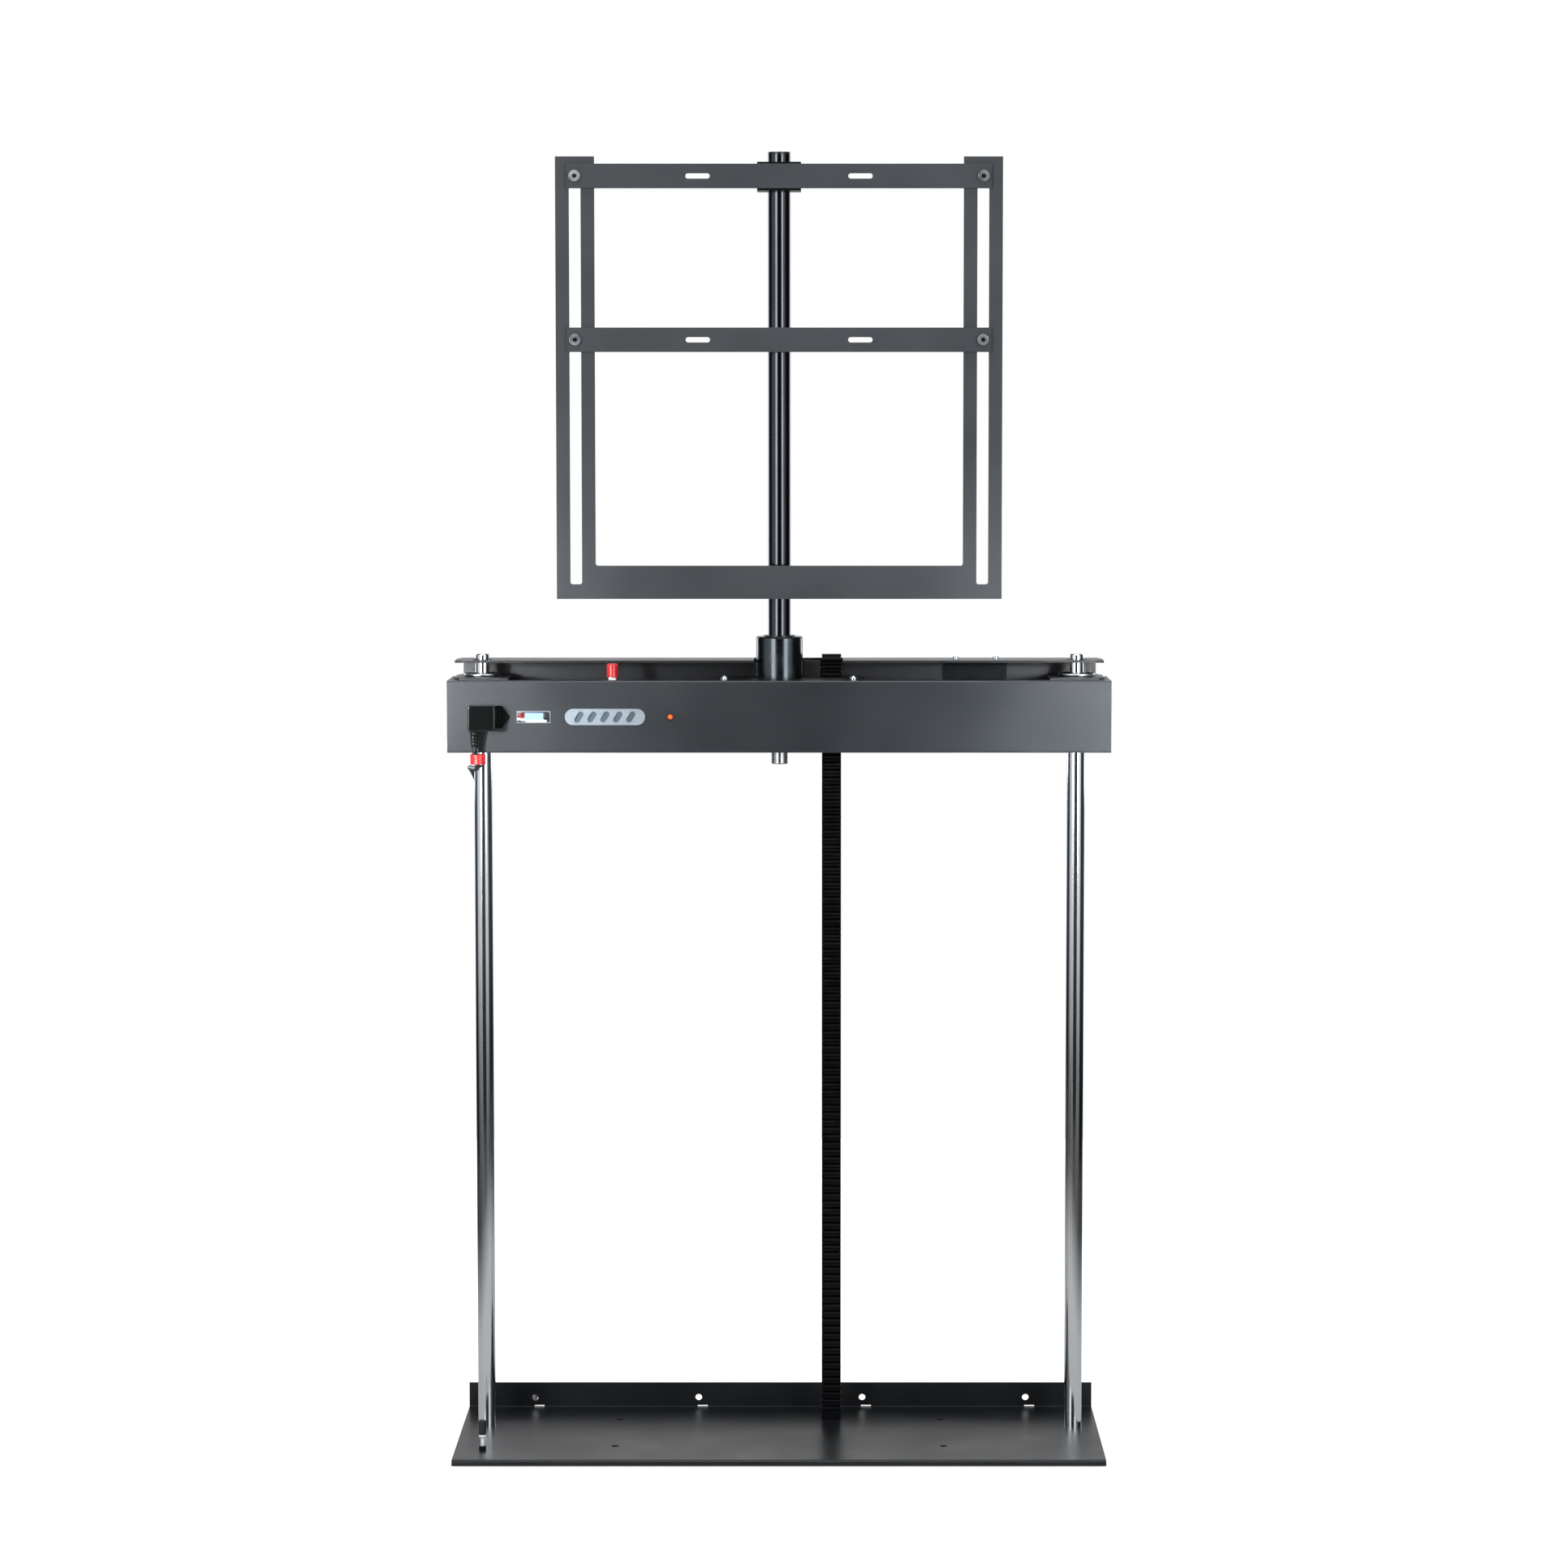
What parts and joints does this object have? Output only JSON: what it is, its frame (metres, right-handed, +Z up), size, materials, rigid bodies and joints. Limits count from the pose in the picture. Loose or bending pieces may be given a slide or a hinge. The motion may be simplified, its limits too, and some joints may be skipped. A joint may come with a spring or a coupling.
{
  "type": "tv lift mechanism",
  "caption": "Motorised lift: a box carriage climbs a toothed rack on chromed columns over a flanged base plate and carries a swivelling pole with a slotted U bracket for a flat screen.",
  "frame": {"origin": "on the floor under the middle of the base plate, where its rubber pads stand", "axes": "+X along the base plate to the right, +Y from the screen side to the back flange, +Z up along the columns; the carriage is stored raised"},
  "size_m": [0.82, 0.416, 1.603],
  "materials": {
    "charcoal_coat": "satin powder coat",
    "graphite_plate": "satin powder coat",
    "polished_steel": "hard chrome, ground and polished",
    "black_chrome": "dark gloss plating",
    "black_oxide": "blackened steel, oiled",
    "zinc_plate": "bright zinc plating",
    "bright_steel": "turned steel",
    "cast_aluminium": "die cast, satin",
    "motor_black": "baked enamel",
    "black_plastic": "moulded, soft gloss",
    "white_plastic": "moulded, matte",
    "pale_grey_plastic": "moulded, satin",
    "blue_plastic": "moulded, matte",
    "red_plastic": "moulded, glossy",
    "amber_lens": "clear tinted, glossy",
    "green_board": "lacquered laminate",
    "black_rubber": "matte",
    "cord_jacket": "smooth PVC jacket",
    "acetal": "machined, smooth",
    "brass": "stamped, bright"
  },
  "bodies": {
    "base": {"base_plate": "charcoal_coat", "base_pads": "black_rubber", "column_left": "polished_steel", "column_right": "polished_steel", "column_plugs": "polished_steel", "foot_screws": "zinc_plate", "rack": "black_oxide", "rack_foot": "black_oxide", "stop_nut": "black_oxide", "stop_spacer": "white_plastic", "stop_tip": "black_rubber", "cord_hanging": "cord_jacket", "cord_tail": "cord_jacket", "cord_coil": "cord_jacket", "mains_plug": "black_plastic", "mains_pins": "brass"},
    "carriage": {"front_cover": "charcoal_coat", "carriage_channel": "charcoal_coat", "end_plates": "charcoal_coat", "collar_plate": "charcoal_coat", "bearing_housings": "black_oxide", "guide_bushes": "acetal", "pole_collar": "black_oxide", "pole_bearings": "black_plastic", "dome_nuts": "zinc_plate", "drive_bracket": "zinc_plate", "shaft_bush": "brass", "gearbox": "cast_aluminium", "motor_can": "motor_black", "motor_hanger": "black_oxide", "machine_screws": "zinc_plate", "roller_bracket": "zinc_plate", "roller_pin": "bright_steel", "limit_switch": "black_plastic", "inlet_housing": "black_plastic", "inlet_plug": "black_plastic", "port_shell": "white_plastic", "port_block": "blue_plastic", "vent_insert": "pale_grey_plastic", "lamp_lens": "amber_lens", "control_board": "green_board", "board_spacers": "white_plastic", "board_relays": "blue_plastic", "power_supply": "cast_aluminium", "wire_sleeve": "white_plastic", "wire_cap": "red_plastic", "motor_lead": "cord_jacket", "cord_ring": "red_plastic"},
    "drive_gear": {"drive_shaft": "bright_steel", "pinion": "bright_steel"},
    "roller": {"backing_roller": "bright_steel"},
    "screen_mast": {"pole": "black_chrome", "pole_cap": "black_plastic", "pole_spindle": "bright_steel", "u_bracket": "graphite_plate", "screen_rails": "graphite_plate", "pole_clamps": "black_oxide", "clamp_bolts": "zinc_plate", "rail_bolts": "zinc_plate", "rail_nuts": "zinc_plate"}
  },
  "joints": [
    {"name": "carriage_lift", "type": "slide", "parent": "base", "child": "carriage", "axis": [0, 0, 1], "range_m": [-0.825, 0], "deforming": ["cord_hanging"]},
    {"name": "pinion_spin", "type": "hinge", "parent": "carriage", "child": "drive_gear", "pos_m": [0.065, 0.0475, 0.909], "axis": [1, 0, 0], "range_deg": [-5, 2110]},
    {"name": "roller_spin", "type": "hinge", "parent": "carriage", "child": "roller", "pos_m": [0.065, 0.0972, 0.909], "axis": [1, 0, 0], "range_deg": [-4310, 5]},
    {"name": "pole_swivel", "type": "hinge", "parent": "carriage", "child": "screen_mast", "pos_m": [0, 0.045, 0.953], "axis": [0, 0, 1], "range_deg": [-35, 35]}
  ],
  "couplings": [
    {"joint": "pinion_spin", "follows": "carriage_lift", "rad_per_m": -44.444},
    {"joint": "roller_spin", "follows": "carriage_lift", "rad_per_m": 90.909}
  ]
}
